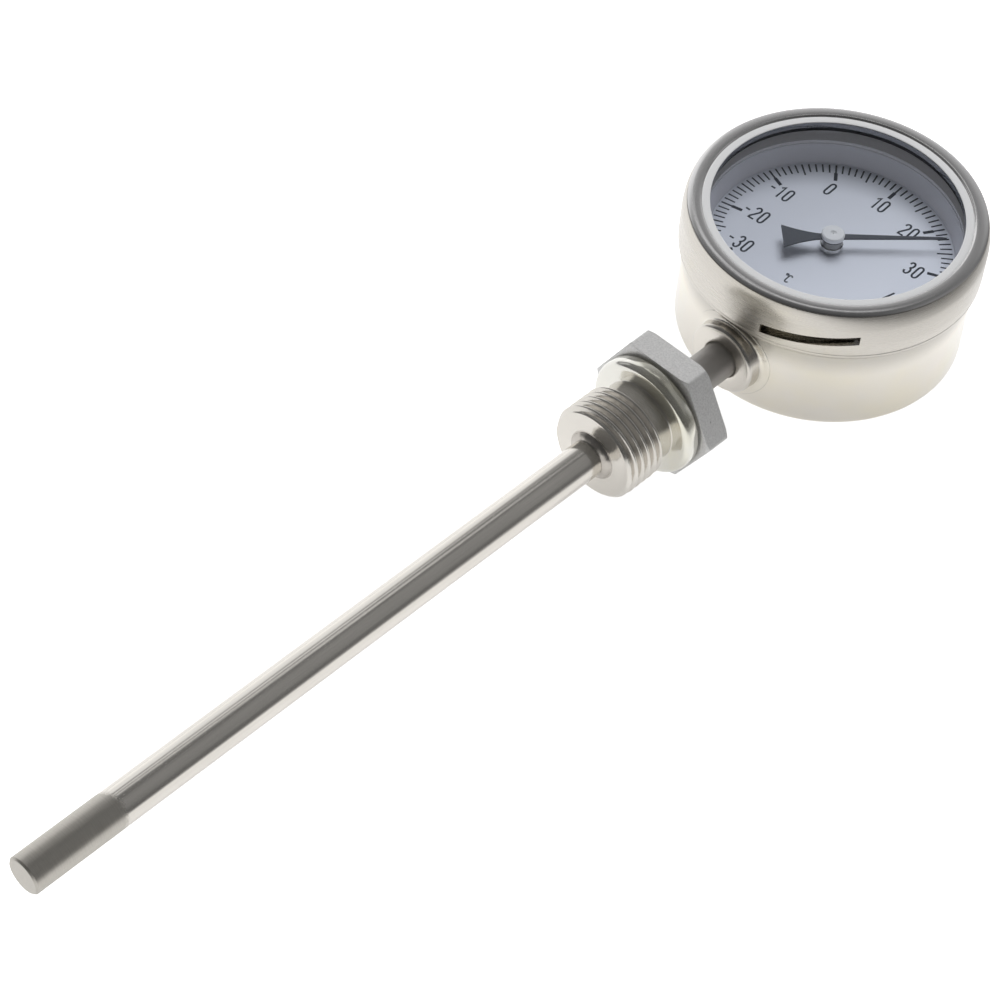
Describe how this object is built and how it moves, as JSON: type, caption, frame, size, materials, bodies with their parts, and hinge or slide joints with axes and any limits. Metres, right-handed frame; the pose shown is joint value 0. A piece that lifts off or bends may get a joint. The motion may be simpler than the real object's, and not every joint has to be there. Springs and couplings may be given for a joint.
{
  "type": "dial thermometer",
  "caption": "Round steel dial thermometer with a glass window, a pointer, a radial stem and a hexagonal fitting with a pipe thread.",
  "frame": {"origin": "centre of the case's flat back face", "axes": "+Z out of the dial along the pointer's axis; the stem points along -Y, and +Y is the dial's 12 o'clock side"},
  "size_m": [0.064, 0.25, 0.0351],
  "materials": {
    "case_steel": "satin stainless steel",
    "bezel_steel": "satin stainless steel with a polished bead",
    "stem_steel": "polished stainless steel tube",
    "fitting_steel": "turned stainless steel, hexagon faces as drawn",
    "plain_steel": "bright turned steel",
    "bright_plate": "nickel plated",
    "brass": "machined",
    "bimetal": "rolled bimetal strip",
    "guide_plastic": "white PTFE",
    "dial_paint": "matt white with black print",
    "spacer_paint": "satin grey",
    "pointer_paint": "matt dark grey",
    "seal_rubber": "matt",
    "window": "clear instrument glass"
  },
  "bodies": {
    "body": {"case_pot": "case_steel", "case_studs": "plain_steel", "stem_socket": "case_steel", "neck_tube": "stem_steel", "stem_tube": "stem_steel", "stem_tip": "stem_steel", "process_fitting": "fitting_steel", "bimetal_coil": "bimetal", "shaft_guides": "guide_plastic", "shaft_bearing": "brass", "base_plate": "brass", "top_plate": "brass", "plate_pillars": "brass", "plate_nuts": "plain_steel", "lower_bush": "brass", "upper_bush": "brass", "dial_posts": "plain_steel", "dial_plate": "dial_paint", "spacer_ring": "spacer_paint", "rim_seal": "seal_rubber", "window_glass": "window", "window_gasket": "seal_rubber"},
    "drive": {"drive_shaft": "plain_steel", "coil_hub": "brass", "thrust_collar": "brass", "drive_gear": "brass"},
    "pointer": {"pointer_shaft": "plain_steel", "pointer_pinion": "brass", "pointer_hub": "bright_plate", "pointer": "pointer_paint", "pointer_cap": "bright_plate"},
    "bezel": {"bezel_ring": "bezel_steel"}
  },
  "joints": [
    {"name": "drive_shaft_turn", "type": "hinge", "parent": "body", "child": "drive", "pos_m": [0, -0.06, 0.0118], "axis": [0, -1, 0], "range_deg": [-182.25, 87.75]},
    {"name": "pointer_turn", "type": "hinge", "parent": "body", "child": "pointer", "pos_m": [0, 0, 0.02], "axis": [0, 0, -1], "range_deg": [-182.25, 87.75]},
    {"name": "bezel_twist", "type": "hinge", "parent": "body", "child": "bezel", "pos_m": [0, 0, 0.027], "axis": [0, 0, 1], "range_deg": [0, 42]}
  ],
  "couplings": [
    {"joint": "pointer_turn", "follows": "drive_shaft_turn", "ratio": 1}
  ]
}
